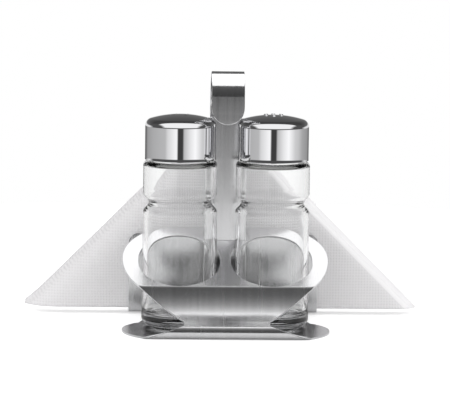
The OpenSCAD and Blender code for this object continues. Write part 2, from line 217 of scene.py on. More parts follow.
class Wiring:
    """Adds and links nodes in one node tree."""

    def __init__(self, tree):
        self.tree = tree

    def add(self, kind, inputs=None, **settings):
        """A new shader node with its settings, and its inputs set or linked."""
        node = self.tree.nodes.new(kind)
        for key, value in settings.items():
            setattr(node, key, value)
        for key, value in (inputs or {}).items():
            self.feed(node.inputs[key], value)
        return node

    def feed(self, socket, value):
        """Links a socket to a node's output, or sets its value."""
        if isinstance(value, bpy.types.NodeSocket):
            self.tree.links.new(value, socket)
        else:
            socket.default_value = value

    def math(self, operation, first, second=0.0):
        """The result of one sum."""
        return self.add("ShaderNodeMath", {0: first, 1: second}, operation=operation).outputs[0]

    def apart(self, vector):
        """The three parts of a vector."""
        return self.add("ShaderNodeSeparateXYZ", {"Vector": vector}).outputs

    def blended(self, factor, first, second):
        """Two numbers mixed by a factor."""
        return self.add("ShaderNodeMix", {0: factor, 2: first, 3: second}).outputs[0]

    def place(self, scale, source="Object"):
        """Coordinates stretched by a scale on each axis."""
        coordinates = self.add("ShaderNodeTexCoord")
        inputs = {"Vector": coordinates.outputs[source], "Scale": scale}
        return self.add("ShaderNodeMapping", inputs).outputs["Vector"]

    def cloud(self, stretch, detail, roughness=0.5, source="Object"):
        """Soft noise, finer where the stretch is larger."""
        return self.add("ShaderNodeTexNoise", {
            "Vector": self.place(stretch, source), "Scale": 1.0,
            "Detail": detail, "Roughness": roughness,
        }).outputs["Fac"]

    def span(self, value, low, high, to_low, to_high):
        """A value carried from one range to another."""
        return self.add("ShaderNodeMapRange", {
            "Value": value, "From Min": low, "From Max": high, "To Min": to_low, "To Max": to_high,
        }).outputs["Result"]

    def raised(self, height, strength, distance, normal=None):
        """A bump from a height."""
        inputs = {"Height": height, "Strength": strength, "Distance": distance}
        if normal is not None:
            inputs["Normal"] = normal
        return self.add("ShaderNodeBump", inputs).outputs["Normal"]

    def ramp(self, factor, stops):
        """A level that runs through the stops, given as (place, level)."""
        node = self.add("ShaderNodeValToRGB", {"Fac": factor})
        elements = node.color_ramp.elements
        for index, (at, level) in enumerate(stops):
            stop = elements[index] if index < 2 else elements.new(at)
            stop.position = at
            stop.color = (level, level, level, 1)
        return self.add("ShaderNodeSeparateColor", {"Color": node.outputs["Color"]}).outputs[0]

    def mixed(self, factor, first, second):
        """Two colours mixed by a factor."""
        inputs = {0: factor, 6: first, 7: second}
        return self.add("ShaderNodeMix", inputs, data_type="RGBA").outputs[2]


class Finish(Wiring):
    """One material, built round its main shader."""

    def __init__(self, name):
        self.material = bpy.data.materials.new(name)
        self.material.use_nodes = True
        super().__init__(self.material.node_tree)
        self.shader = self.tree.nodes["Principled BSDF"]
        self.output = self.tree.nodes["Material Output"]

    def set(self, **inputs):
        """Sets the main shader's sockets by their names in lower case."""
        by_name = {socket.name.lower().replace(" ", "_"): socket for socket in self.shader.inputs}
        for key, value in inputs.items():
            self.feed(by_name[key], value)


def shaded(colour, factor):
    """A colour with its channels multiplied, as four numbers."""
    return (*[channel * factor for channel in colour], 1.0)


def brushed_steel(name, colour, roughness):
    """Steel with fine straight brush lines that follow the sheet."""
    finish = Finish(name)
    lines = finish.cloud(BRUSH_LINES, 4.0, 0.65, "UV")
    bands = finish.cloud(BRUSH_BANDS, 2.0, source="UV")
    both = finish.math("ADD", lines, bands)
    tangent = finish.add("ShaderNodeTangent", direction_type="UV_MAP", uv_map="grain")
    finish.set(
        base_color=finish.mixed(
            finish.span(both, 0.7, 1.3, 0, 1), shaded(colour, 0.93), shaded(colour, 1.05)
        ),
        metallic=1.0,
        roughness=finish.span(bands, *NOISE_SPAN, roughness - 0.03, roughness + 0.04),
        anisotropic=0.7,
        tangent=tangent.outputs[0],
        normal=finish.raised(lines, strength=0.12, distance=0.00004),
    )
    return finish


def highlighted_cut_edge(name, colour):
    """The edge of a sheet where it was cut and smoothed, its colour lifted above the steel's as a
    painted highlight.
    """
    finish = Finish(name)
    marks = finish.cloud(FINE_GRAIN, 2.0)
    finish.set(
        # Painted highlight: the edge's colour is 1.1 to 1.25 times the steel's
        base_color=finish.mixed(marks, shaded(colour, 1.1), shaded(colour, 1.25)),
        metallic=1.0,
        roughness=finish.span(marks, *NOISE_SPAN, 0.5, 0.6),
    )
    return finish


def polished_chrome(name, colour):
    """Mirror-bright steel with faint marks from handling."""
    finish = Finish(name)
    marks = finish.cloud(HAND_MARKS, 5.0, 0.6)
    finish.set(
        base_color=finish.mixed(marks, shaded(colour, 0.98), shaded(colour, 1.02)),
        metallic=1.0,
        roughness=0.0,
        normal=finish.raised(finish.cloud(POLISH_WAVES, 1.0), strength=0.05, distance=0.0002),
    )
    return finish


def clear_glass(name, colour):
    """Pressed glass with a mould's slow waves. Shadow and diffuse rays pass straight through."""
    finish = Finish(name)
    waves = finish.cloud(MOULD_WAVES, 2.0)
    finish.set(
        base_color=(*colour, 1.0),
        roughness=0.0,
        ior=GLASS_IOR,
        transmission_weight=1.0,
        normal=finish.raised(waves, strength=0.15, distance=0.0006),
    )
    path = finish.add("ShaderNodeLightPath").outputs
    lit = finish.math("MAXIMUM", path["Is Shadow Ray"], path["Is Diffuse Ray"])
    clear = finish.add("ShaderNodeBsdfTransparent", {"Color": shaded(colour, 0.97)})
    sides = {0: lit, 1: finish.shader.outputs[0], 2: clear.outputs[0]}
    both = finish.add("ShaderNodeMixShader", sides)
    finish.feed(finish.output.inputs["Surface"], both.outputs[0])
    return finish


def soft_plastic(name, colour, roughness):
    """Moulded plastic with a fine grain."""
    finish = Finish(name)
    grain = finish.cloud(FINE_GRAIN, 2.0)
    finish.set(
        base_color=finish.mixed(grain, shaded(colour, 0.95), shaded(colour, 1.0)),
        roughness=finish.span(grain, *NOISE_SPAN, roughness - 0.05, roughness + 0.05),
        subsurface_weight=0.15,
        subsurface_radius=(0.002, 0.002, 0.002),
        normal=finish.raised(grain, strength=0.08, distance=0.0001),
    )
    return finish


def embossed_paper(name, colour, half, border):
    """Tissue with rows of small pressed dots inside a plain border, and a soft fibre; painted shade
    darkens the low parts of the dots and painted light lightens the border.
    """
    finish = Finish(name)
    across, along, _ = finish.apart(finish.place([FULL_TURN / DOT_PITCH] * 3, "UV"))
    dots = finish.math("MULTIPLY", finish.math("SINE", across), finish.math("SINE", along))
    right, up, _ = finish.apart(finish.place((1, 1, 1), "UV"))
    outermost = finish.math("MAXIMUM", finish.math("ABSOLUTE", right), finish.math("ABSOLUTE", up))
    inside = finish.span(outermost, half - border, half - border + DOTS_END, 1.0, 0.0)
    pressed = finish.blended(inside, 1.0, finish.span(dots, -0.2, 0.8, 1.0, 0.0))
    # Painted shade: the tint follows the relief, 0.93 of the paper's colour where it is low
    dot_shade = finish.mixed(pressed, shaded(colour, 0.93), shaded(colour, 1.0))
    fibre = finish.cloud(PAPER_FIBRE, 6.0, 0.7, "UV")
    crumple = finish.cloud(PAPER_CRUMPLE, 3.0, source="UV")
    normal = finish.raised(crumple, strength=0.3, distance=0.0015)
    normal = finish.raised(fibre, strength=0.35, distance=0.00008, normal=normal)
    normal = finish.raised(pressed, strength=0.8, distance=0.00015, normal=normal)
    finish.set(
        # Painted light: the plain border is 1.1 times the paper's colour, for the lighter band
        # along the open edges
        base_color=finish.mixed(inside, shaded(colour, 1.1), dot_shade),
        roughness=0.85,
        sheen_weight=0.15,
        subsurface_weight=0.2,
        subsurface_radius=(0.001, 0.001, 0.001),
        normal=normal,
    )
    return finish


# Shaping helpers


def drawn_arc(centre, radius, start, end, step=ARC_STEP):
    """Points of an arc, with angles in radians."""
    steps = max(1, ceil(abs(end - start) / step))
    angles = [start + (end - start) * index / steps for index in range(steps + 1)]
    return [Vector((centre[0] + radius * cos(a), centre[1] + radius * sin(a))) for a in angles]


def as_mesh(name, shape):
    """Turns a bmesh into a mesh and frees it."""
    mesh = bpy.data.meshes.new(name)
    shape.to_mesh(mesh)
    shape.free()
    return mesh


def shade(mesh, sharp=SHARP):
    """Smooth shading that breaks at sharp edges."""
    mesh.shade_smooth()
    mesh.set_sharp_from_angle(angle=radians(sharp))


def linked(name, data):
    """A new object in the scene."""
    item = bpy.data.objects.new(name, data)
    bpy.context.scene.collection.objects.link(item)
    return item


def aimed(place, direction, front="Z"):
    """The matrix that puts something at a place with its front in a direction."""
    return Matrix.Translation(place) @ direction.to_track_quat(front, "Y").to_matrix().to_4x4()


def divide(shape, at, across, dist=1e-6):
    """Cuts a bmesh's faces along a plane."""
    everything = shape.verts[:] + shape.edges[:] + shape.faces[:]
    bmesh.ops.bisect_plane(shape, geom=everything, plane_co=at, plane_no=across, dist=dist)


def lay_grain(sheet):
    """Keeps each corner's place on the flat sheet as a UV map, which the patterns follow."""
    grain = sheet.loops.layers.uv.new("grain")
    for face in sheet.faces:
        for corner in face.loops:
            corner[grain].uv = corner.vert.co.xy


def finished(name, shape, finish, body, replaced, sharp=SHARP):
    """Turns a bmesh into a named piece that rides on its body in place of CAD nodes."""
    mesh = as_mesh(name, shape)
    shade(mesh, sharp)
    piece = linked(name, mesh)
    mesh.materials.append(finish.material)
    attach(piece, body)
    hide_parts(*replaced)
    return piece


class SheetPath:
    """The side view of a bent sheet, drawn like a pen stroke along its outer face."""

    def __init__(self, y, z, heading):
        self.point = Vector((y, z))
        self.heading = heading
        self.length = 0.0
        self.runs = []

    def straight(self, distance):
        """A flat stretch."""
        return self._run(distance, 0.0)

    def bend(self, radius, turn):
        """A bend, to the left where the turn is positive."""
        return self._run(radius * abs(turn), turn / (radius * abs(turn)))

    def _run(self, distance, curvature):
        self.runs.append((self.length, distance, self.point.copy(), self.heading, curvature))
        self.length += distance
        self.point, self.heading = self.at(self.length)
        return self

    def at(self, distance):
        """The point and the heading at a distance from the start."""
        start, _, point, heading, curvature = next(
            (run for run in self.runs if distance <= run[0] + run[1] + 1e-9), self.runs[-1]
        )
        gone = distance - start
        if curvature == 0:
            return point + Vector((cos(heading), sin(heading))) * gone, heading
        end = heading + curvature * gone
        across = (sin(end) - sin(heading)) / curvature
        up = (cos(heading) - cos(end)) / curvature
        return point + Vector((across, up)), end

    def cuts(self, flat_step=0.006):
        """Distances at which the blank is divided, closer together in the bends."""
        found = []
        for start, span, _, _, curvature in self.runs:
            step = flat_step if curvature == 0 else ARC_STEP / abs(curvature)
            steps = max(1, ceil(span / step))
            found += [start + span * index / steps for index in range(steps)]
        return found[1:]


def bent_sheet(name, outline, holes, path, thickness, rounding, finish, edge, node):
    """Fills a flat blank, divides it across its bends, folds it along the path and thickens it."""
    blank = bmesh.new()
    for loop in (outline, *holes):
        corners = [blank.verts.new((x, s, 0)) for x, s in loop]
        for index, corner in enumerate(corners):
            blank.edges.new((corners[index - 1], corner))
    bmesh.ops.triangle_fill(blank, edges=blank.edges[:], use_beauty=True, use_dissolve=False)
    for distance in path.cuts():
        divide(blank, (0, distance, 0), (0, 1, 0), dist=1e-7)
    blank.normal_update()
    bmesh.ops.reverse_faces(blank, faces=[face for face in blank.faces if face.normal.z > 0])
    lay_grain(blank)
    for corner in blank.verts:
        point, _ = path.at(corner.co.y)
        corner.co = (corner.co.x, point.x, point.y)
    piece = finished(name, blank, finish, "stand", [node])
    piece.data.materials.append(edge.material)
    solidify = piece.modifiers.new("Thickness", "SOLIDIFY")
    solidify.thickness = thickness
    solidify.offset = -1
    solidify.use_even_offset = True
    solidify.use_quality_normals = True
    solidify.material_offset_rim = 1
    bevel = piece.modifiers.new("Edges", "BEVEL")
    bevel.width = rounding
    bevel.segments = 2
    bevel.limit_method = "ANGLE"
    bevel.angle_limit = radians(CUT_EDGE)
    bevel.use_clamp_overlap = False
    weighted = piece.modifiers.new("Shading", "WEIGHTED_NORMAL")
    weighted.keep_sharp = True
    return piece


def mirrored(right):
    """A closed outline from the points of its right half, listed from one end to the other."""
    right = without_repeats(right)
    return right + [Vector((-x, s)) for x, s in reversed(right) if x > 1e-6]


def without_repeats(points):
    """The points without those that lie on the one before."""
    kept = []
    for point in points:
        if not kept or (Vector(point) - kept[-1]).length > 1e-5:
            kept.append(Vector(point))
    return kept


# The bent sheet stand


def stand_path(s):
    """Side view of the stand: tray, crest, hollow front, toe and base."""
    toe = Vector((-s.toe_reach, s.toe_radius))
    up_low = pi - s.cove_low
    cove = toe + Vector((cos(up_low), sin(up_low))) * (s.toe_radius + s.cove_radius)
    crest = cove + Vector((cos(-s.cove_top), sin(-s.cove_top))) * (s.cove_radius + s.crest_radius)
    normal = Vector((-sin(s.tilt), cos(s.tilt)))
    start = crest + normal * s.crest_radius
    tray_forward = -start.x / cos(s.tilt)
    tray_rear = s.tray_back + s.tray_rear_radius
    slope = Vector((cos(s.tilt), sin(s.tilt)))
    rear = start + slope * (tray_forward + tray_rear)
    path = SheetPath(rear.x, rear.y, pi + s.tilt)
    path.straight(tray_forward + tray_rear)
    path.bend(s.crest_radius, QUARTER - s.tilt - s.cove_top)
    path.bend(s.cove_radius, s.cove_top - s.cove_low)
    path.bend(s.toe_radius, QUARTER + s.cove_low)
    path.straight(CHANNEL_HIGH.y + s.toe_reach)
    return path, tray_rear, tray_forward, cove


def circles_meet(first, first_radius, second, second_radius):
    """The meeting point of two circles that lies further out on the right."""
    apart = second - first
    along = (first_radius**2 - second_radius**2 + apart.length_squared) / (2 * apart.length)
    aside = sqrt(first_radius**2 - along**2)
    axis = apart.normalized()
    foot = first + axis * along
    step = Vector((-axis.y, axis.x)) * aside
    return max((foot + step, foot - step), key=lambda point: point.x)


def stand_outline(s, path, tray_rear, tray_forward, cove):
    """Right half of the flat blank, from the middle of the tray's rear to the tongue's end."""
    half = STAND_HIGH.x
    crest_at, cove_at, toe_at, base_at = (run[0] for run in path.runs[1:])
    rear_x = half - s.tray_rear_radius
    side_x = half - s.tray_side_radius
    widest = tray_rear - s.tray_back
    forward = tray_forward + cove_at - crest_at + s.tray_back
    crest_end = side_x + sqrt(s.tray_side_radius**2 - forward**2)
    lean = asin((tray_forward + s.tray_back) / s.tray_side_radius)
    points = [(0, 0)]
    points += drawn_arc((rear_x, widest), s.tray_rear_radius, -QUARTER, 0)
    points += drawn_arc((side_x, widest), s.tray_side_radius, 0, lean)
    waist = asin((cove.y - s.waist_top) / s.cove_radius)
    points += [
        (crest_end, cove_at),
        (s.waist_half, cove_at + (waist - s.cove_top) * s.cove_radius),
        (s.waist_half, toe_at),
    ]
    front_x = half - s.base_front_radius
    chord = sqrt(s.base_front_radius**2 - (s.toe_reach - s.base_forward) ** 2)
    toe_half = front_x + chord
    toe_turn = QUARTER + s.cove_low
    # The waist widens to the base while the sheet goes round the toe
    steps = 16
    for index in range(1, steps):
        turned = pi - s.cove_low + toe_turn * index / steps
        height = s.toe_radius * (1 + sin(turned))
        reach = toe_half + (s.waist_half - toe_half) * min(1, height / s.waist_low)
        points.append((reach, toe_at + s.toe_radius * toe_turn * index / steps))
    plan = base_at + s.toe_reach
    front = Vector((front_x, plan - s.base_forward))
    rear = Vector((half - s.base_rear_radius, plan - s.base_forward))
    foot = Vector((box_middle("pepper_glass").x, plan))
    foot_radius = half_width("pepper_glass") + s.base_rim
    start = asin((base_at - front.y) / s.base_front_radius)
    points += drawn_arc(front, s.base_front_radius, start, 0)
    join = circles_meet(rear, s.base_rear_radius, foot, foot_radius)
    points += drawn_arc(rear, s.base_rear_radius, 0, (join - rear).angle_signed(Vector((1, 0))))
    tongue = s.tongue_width / 2
    turned = (join - foot).angle_signed(Vector((1, 0)))
    points += drawn_arc(foot, foot_radius, turned, acos((tongue - foot.x) / foot_radius))
    return points + [(tongue, path.length), (0, path.length)]


def box_middle(node):
    """The middle of a CAD node's box."""
    low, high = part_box(node)
    return (low + high) / 2


def half_width(node):
    """Half the width of a CAD node's box."""
    low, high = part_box(node)
    return (high.x - low.x) / 2


def well_outline(s, x, at):
    """A well in the blank: two half circles a little apart along the slope."""
    foot = half_width("pepper_glass")
    radius = foot + s.well_clearance
    half = (foot + s.well_front + s.thickness * sin(s.tilt)) / cos(s.tilt)
    stretch = max(0, half - radius)
    rear_end = drawn_arc((x, at + stretch), radius, 0, pi)
    return without_repeats(rear_end + drawn_arc((x, at - stretch), radius, pi, FULL_TURN))


class CONDIMENT_OT_stand(bpy.types.Operator):
    """Adds the bent sheet stand with its wells"""

    bl_idname = "condiment.stand"
    bl_label = "Stand"

    def execute(self, context):
        s = context.scene.condiment_sheet
        path, tray_rear, tray_forward, cove = stand_path(s)
        wells = [well_outline(s, box_middle(f"{name}_glass").x, tray_rear) for name in SHAKERS]
        half = HANDLE_HIGH.x + s.slot_clearance
        rear = tray_rear - (s.strip_back + s.strip_thickness + s.slot_clearance) / cos(s.tilt)
        front = s.strip_back - s.slot_clearance - s.thickness * sin(s.tilt)
        front = tray_rear - front / cos(s.tilt)
        slot = [(-half, rear), (half, rear), (half, front), (-half, front)]
        bent_sheet(
            "bent_stand",
            mirrored(stand_outline(s, path, tray_rear, tray_forward, cove)),
            [*wells, slot],
            path, s.thickness, s.edge_break,
            brushed_steel("brushed_sheet_steel", s.steel, s.roughness),
            highlighted_cut_edge("stand_edge", s.steel),
            "stand",
        )
        return {"FINISHED"}


class CONDIMENT_OT_handle(bpy.types.Operator):
    """Adds the handle strip with its foot and its curl"""

    bl_idname = "condiment.handle"
    bl_label = "Handle"

    def execute(self, context):
        s = context.scene.condiment_sheet
        depth = s.strip_back + s.strip_thickness - HANDLE_LOW.y
        rear_radius = depth - s.curl_front_radius
        bend = s.foot_bend - s.strip_thickness
        path = SheetPath(CHANNEL_LOW.y, HANDLE_LOW.z + s.strip_thickness, pi)
        path.straight(CHANNEL_LOW.y - s.strip_back - s.foot_bend)
        path.bend(bend, -QUARTER)
        path.straight(HANDLE_HIGH.z - rear_radius - path.point.y)
        path.bend(rear_radius, QUARTER)
        path.bend(s.curl_front_radius, QUARTER)
        path.straight(path.point.y - tab_tip())
        half = HANDLE_HIGH.x
        tip = path.length - half
        right = [(0, 0), (half, 0)] + drawn_arc((0, tip), half, 0, QUARTER)
        strip = bent_sheet(
            "handle_strip", mirrored(right), [], path,
            s.strip_thickness, s.edge_break,
            brushed_steel("brushed_strip_steel", s.steel, s.strip_roughness),
            highlighted_cut_edge("strip_edge", s.steel),
            "handle",
        )
        bpy.data.collections[STRIP_LAMP].objects.link(strip)
        return {"FINISHED"}


def tab_tip():
    """Height of the lowest point of the handle's hanging tab."""
    front_share = 0.05
    ahead = HANDLE_LOW.y + (HANDLE_HIGH.y - HANDLE_LOW.y) * front_share
    return min(v.co.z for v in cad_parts["handle"].data.vertices if v.co.y < ahead)


class CONDIMENT_OT_napkin_holder(bpy.types.Operator):
    """Adds the channel that holds the napkins"""

    bl_idname = "condiment.napkin_holder"
    bl_label = "Napkin holder"

    def execute(self, context):
        s = context.scene.condiment_sheet
        low, high = CHANNEL_LOW, CHANNEL_HIGH
        wall = high.z - low.z - s.channel_bend
        path = SheetPath(low.y, high.z, -QUARTER)
        path.straight(wall)
        path.bend(s.channel_bend, QUARTER)
        path.straight(high.y - low.y - 2 * s.channel_bend)
        path.bend(s.channel_bend, QUARTER)
        path.straight(wall)
        half, corner, total = high.x, s.channel_corner, path.length
        right = [(0, 0)]
        right += drawn_arc((half - corner, corner), corner, -QUARTER, 0)
        right += drawn_arc((half - corner, total - corner), corner, 0, QUARTER)
        right += [(0, total)]
        bent_sheet(
            "napkin_channel", mirrored(right), [], path,
            s.thickness, s.edge_break,
            brushed_steel("brushed_channel_steel", s.steel, s.roughness),
            highlighted_cut_edge("channel_edge", s.steel),
            "napkin_holder",
        )
        return {"FINISHED"}


# The shakers


def turned(profile, segments, place, closed=False):
    """A line of (radius, height) turned about an upright axis and put in its place."""
    solid = bmesh.new()
    corners = [solid.verts.new((radius, 0, height)) for radius, height in profile]
    for index in range(0 if closed else 1, len(corners)):
        solid.edges.new((corners[index - 1], corners[index]))
    bmesh.ops.spin(
        solid, geom=solid.verts[:] + solid.edges[:], axis=(0, 0, 1), cent=(0, 0, 0),
        angle=FULL_TURN, steps=segments, use_merge=True,
    )
    bmesh.ops.remove_doubles(solid, verts=solid.verts[:], dist=1e-6)
    bmesh.ops.recalc_face_normals(solid, faces=solid.faces[:])
    bmesh.ops.transform(solid, matrix=place, verts=solid.verts[:])
    return solid


def jar_profile(s, foot_radius, low, top):
    """Outside and inside of a jar as one line, from the middle of its foot round to its floor.

    Points a lip's width beside the roundings keep the walls between them straight in the shading.
    """
    body = s.body_diameter / 2
    inner = body - s.wall
    neck = s.neck_diameter / 2
    bore = neck - s.wall
    groove_low = low + s.belly_height
    groove_top = groove_low + s.groove_height
    shoulder = groove_top + s.collar_height
    rounding = s.shoulder_rounding
    foot = s.foot_rounding
    lip = s.wall / 3

    def groove(radius, upwards):
        steps = 28
        line = [(radius, groove_low - lip)]
        for part in (index / steps for index in range(steps + 1)):
            inset = s.groove_depth * (1 - cos(FULL_TURN * part)) / 2
            line.append((radius - inset, groove_low + s.groove_height * part))
        line.append((radius, groove_top + lip))
        return line if upwards else line[::-1]

    ring = foot_radius - foot
    outside = [(0, low + s.punt), (ring - 4 * s.punt, low + s.punt), (ring - s.punt, low)]
    outside += drawn_arc((ring, low + foot), foot, -QUARTER, 0)
    taper_start = 0.97
    outside += [(body + (foot_radius - body) * taper_start, low + foot + lip)]
    outside += groove(body, True)
    outside += [(body, shoulder - rounding - lip)]
    outside += drawn_arc((body - rounding, shoulder - rounding), rounding, 0, QUARTER)
    outside += [(neck, shoulder), (neck, top - lip)]
    outside += drawn_arc((neck - lip, top - lip), lip, 0, QUARTER)
    inside = drawn_arc((bore + lip, top - lip), lip, QUARTER, 2 * QUARTER)
    ceiling = shoulder - s.wall
    inside += [(bore, ceiling)]
    inside += drawn_arc((inner - lip, ceiling - lip), lip, QUARTER, 0)
    inside += groove(inner, False)
    floor = low + s.floor
    inside += drawn_arc((inner - foot, floor + foot), foot, 0, -QUARTER)
    inside += [(0, floor)]
    return without_repeats(outside + inside)


class CONDIMENT_OT_jars(bpy.types.Operator):
    """Adds the two glass jars"""

    bl_idname = "condiment.jars"
    bl_label = "Jars"

    def execute(self, context):
        s = context.scene.condiment_shaker
        glass = clear_glass("clear_pressed_glass", s.glass)
        for name in SHAKERS:
            node = f"{name}_glass"
            low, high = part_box(node)
            profile = jar_profile(s, half_width(node), low.z, high.z)
            solid = turned(profile, s.segments, Matrix.Translation((box_middle(node).x, 0, 0)))
            finished(f"{name}_jar", solid, glass, f"{name}_shaker", [node])
        return {"FINISHED"}


CROWN_STEP, CORNER_STEP = radians(0.7), radians(4)


class CapShape:
    """A cap's section: a straight side, a rounded corner and a low crown."""

    def __init__(self, s, radius, low):
        self.s = s
        self.low = low
        self.side = radius - s.flare_width
        self.shoulder = low + s.cap_side
        corner = self.side - s.corner_radius
        rise = s.dome_height
        self.crown = (corner**2 + rise**2 - s.corner_radius**2) / (2 * (rise - s.corner_radius))
        self.corner_centre = (corner, self.shoulder)
        self.crown_centre = (0, self.shoulder + rise - self.crown)
        self.meeting = atan2(self.shoulder - self.crown_centre[1], corner)

    def dome(self, inset):
        """The dome's line from its middle to the side, drawn in by an inset."""
        crown = drawn_arc(self.crown_centre, self.crown - inset, QUARTER, self.meeting, CROWN_STEP)
        radius = self.s.corner_radius - inset
        return crown + drawn_arc(self.corner_centre, radius, self.meeting, 0, CORNER_STEP)

    def profile(self):
        """Outside and inside as one line, from the top of the dome over the rim and back."""
        s = self.s
        roll = s.cap_wall / 2
        outside = [(self.side, self.shoulder), (self.side, self.shoulder - s.cap_wall)]
        steps = 8
        for part in (index / steps for index in range(steps + 1)):
            height = roll + (s.flare_height - roll) * (1 - part)
            outside.append((self.side + s.flare_width * part**2, self.low + height))
        rim = drawn_arc((self.side + s.flare_width - roll, self.low + roll), roll, 0, -pi)
        inside = [(self.side - s.cap_wall, self.low + s.flare_height)]
        return without_repeats(self.dome(0) + outside + rim + inside + self.dome(s.cap_wall)[::-1])

    def pouring_places(self, holes):
        """Centres of the pouring holes on the crown, and the crown's outward direction there."""
        reach = self.s.ring_diameter / 2
        rise = sqrt(self.crown**2 - reach**2)
        centre = Vector((reach, 0, self.crown_centre[1] + rise))
        outward = Vector((reach, 0, rise)).normalized()
        angles = [self.s.ring_turn + FULL_TURN * index / holes for index in range(holes)]
        turns = [Matrix.Rotation(a, 3, "Z") for a in angles]
        return [(turn @ centre, turn @ outward) for turn in turns]


HOLE_SEGMENTS = 32


def drill(piece, places, radius, depth):
    """Cuts round holes through a piece and keeps the cut mesh."""
    bits = bmesh.new()
    for centre, direction in places:
        bmesh.ops.create_cone(
            bits, cap_ends=True, segments=HOLE_SEGMENTS, radius1=radius, radius2=radius,
            depth=depth, matrix=aimed(centre, direction),
        )
    tool = linked("bits", as_mesh("bits", bits))
    holes = piece.modifiers.new("Holes", "BOOLEAN")
    holes.object = tool
    holes.solver = "EXACT"
    graph = bpy.context.evaluated_depsgraph_get()
    cut = bpy.data.meshes.new_from_object(piece.evaluated_get(graph))
    piece.modifiers.clear()
    piece.data = cut
    shade(cut)
    bpy.data.objects.remove(tool)


def add_rims(piece, places, s):
    """Adds a small raised ring round every pouring hole."""
    bore, wide, steps = s.hole_diameter / 2, s.rim_width, 10
    arch = [pi * index / steps for index in range(steps + 1)]
    section = [(bore + wide * (1 - cos(a)) / 2, s.rim_height * sin(a)) for a in arch]
    section = [(bore, -wide), *section, (bore + wide, -wide)]
    rimmed = bmesh.new()
    rimmed.from_mesh(piece.data)
    for centre, direction in places:
        rim = turned(section, HOLE_SEGMENTS, aimed(centre, direction), closed=True)
        mesh = as_mesh("ring", rim)
        rimmed.from_mesh(mesh)
        bpy.data.meshes.remove(mesh)
    rimmed.to_mesh(piece.data)
    rimmed.free()


class CONDIMENT_OT_caps(bpy.types.Operator):
    """Adds the two polished caps and finishes their liners and seals"""

    bl_idname = "condiment.caps"
    bl_label = "Caps"

    def execute(self, context):
        s = context.scene.condiment_shaker
        chrome = polished_chrome("polished_cap_steel", s.chrome)
        liner = soft_plastic("white_liner_plastic", s.liner, 0.4)
        seal = soft_plastic("pale_seal_plastic", s.seal, 0.5)
        for name, holes in zip(SHAKERS, (s.salt_holes, s.pepper_holes)):
            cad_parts[f"{name}_cap_liner"].data.materials[0] = liner.material
            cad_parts[f"{name}_seal"].data.materials[0] = seal.material
            node = f"{name}_cap"
            axis = Vector((box_middle(node).x, 0, 0))
            shape = CapShape(s, half_width(node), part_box(node)[0].z)
            places = [(point + axis, way) for point, way in shape.pouring_places(holes)]
            solid = turned(shape.profile(), s.segments, Matrix.Translation(axis))
            piece = finished(f"{name}_dome_cap", solid, chrome, node, [node])
            drill(piece, places, radius=s.hole_diameter / 2, depth=8 * s.cap_wall)
            if name == "pepper":
                add_rims(piece, places, s)
        return {"FINISHED"}


# The napkins


LAYERS = 8
RIPPLES = 18  # Slow ripples in the paper, in waves a metre


class FoldedNapkin:
    """Where a point of a square napkin goes when it is folded in four and then corner to corner."""

    def __init__(self, s, low, high, order):
        chance = random.Random(s.seed * 100 + order)
        self.s = s
        self.order = order
        self.pitch = (high.y - low.y) / LAYERS
        self.middle = (low.y + high.y) / 2
        self.outer = (LAYERS - 1) / 2 * self.pitch
        self.floor = low.z + self.outer
        # Each napkin lies a little differently
        self.left = low.x + 0.3 * s.slip * chance.uniform(0, 1)
        self.fold_u = 0.4 * s.slip * chance.uniform(-1, 1)
        self.fold_v = -0.5 * s.slip * chance.uniform(0.8, 1.2)

    def rounded_fold(self, distance, gap):
        """Distance from the fold once the sheet is round it, and the share of the gap it is out."""
        if distance >= gap * QUARTER:
            return distance - gap * QUARTER, 1.0
        turned = distance / gap
        return -gap * cos(turned), sin(turned)

    def place(self, u, v):
        """The folded place of the point (u, v) of the open napkin."""
        t = self.pitch
        right, upper = u > self.fold_u, v > self.fold_v
        layer = (1 if upper else 0) if right else (2 if upper else 3)
        away_u, away_v = abs(u - self.fold_u), abs(v - self.fold_v)
        front = away_u < away_v
        if max(away_u, away_v) < 1e-7:
            radius = t
        elif front:
            outside = layer >= 2
            gap = t * (1.5 if layer in (0, 3) else 0.5)
            away_u, out = self.rounded_fold(away_u, gap)
            radius = 2 * t + (gap if outside else -gap) * out
        else:
            outside = layer in (1, 3)
            away_v, out = self.rounded_fold(away_v, t / 2)
            radius = (3 if layer >= 2 else 1) * t + (t / 2 if outside else -t / 2) * out
        along = (away_u + away_v) / sqrt(2)
        up = abs(away_u - away_v) / sqrt(2)
        if up < radius * QUARTER:
            aside, rise = radius * sin(up / radius), -radius * cos(up / radius)
        else:
            aside, rise = radius, up - radius * QUARTER
        slipped, away = (self.fold_v, away_v) if front else (self.fold_u, away_u)
        outwards = self.s.side / 2 + abs(slipped) - away
        return self.settled(along, -aside if front else aside, rise, min(away_u, away_v), outwards)

    def settled(self, along, aside, rise, inwards, outwards):
        """Presses the closed edge, leans the edges back, lifts the tips and ripples the paper."""
        s = self.s
        x = self.left + along
        share_in = min(1.0, max(0.0, inwards / s.soft_reach))
        soft = sqrt(share_in * (2 - share_in))
        thickness = s.pressed + (1 - s.pressed) * soft
        slow = noise.noise(Vector((x * RIPPLES, rise * RIPPLES, 0.7 * self.order)))
        y = self.middle + aside * thickness + s.ripple * slow * soft * 0.5
        near_edge = max(0, 1 - outwards / s.open_reach)
        y += s.fold_curl * (1 - share_in) ** 2 + s.open_curl * near_edge**2
        near_tip = max(0.0, 1 - along / s.tip_reach)
        # The wings rise from a little inside the channel's ends outwards
        out = min(1.0, max(0.0, (abs(x) - CHANNEL_HIGH.x * 0.55) / (CHANNEL_HIGH.x * 0.5)))
        z = self.floor + rise
        z += s.tip_lift * near_tip**2 + s.wing_lift * out * out * (3 - 2 * out)
        return Vector((x, y, z))


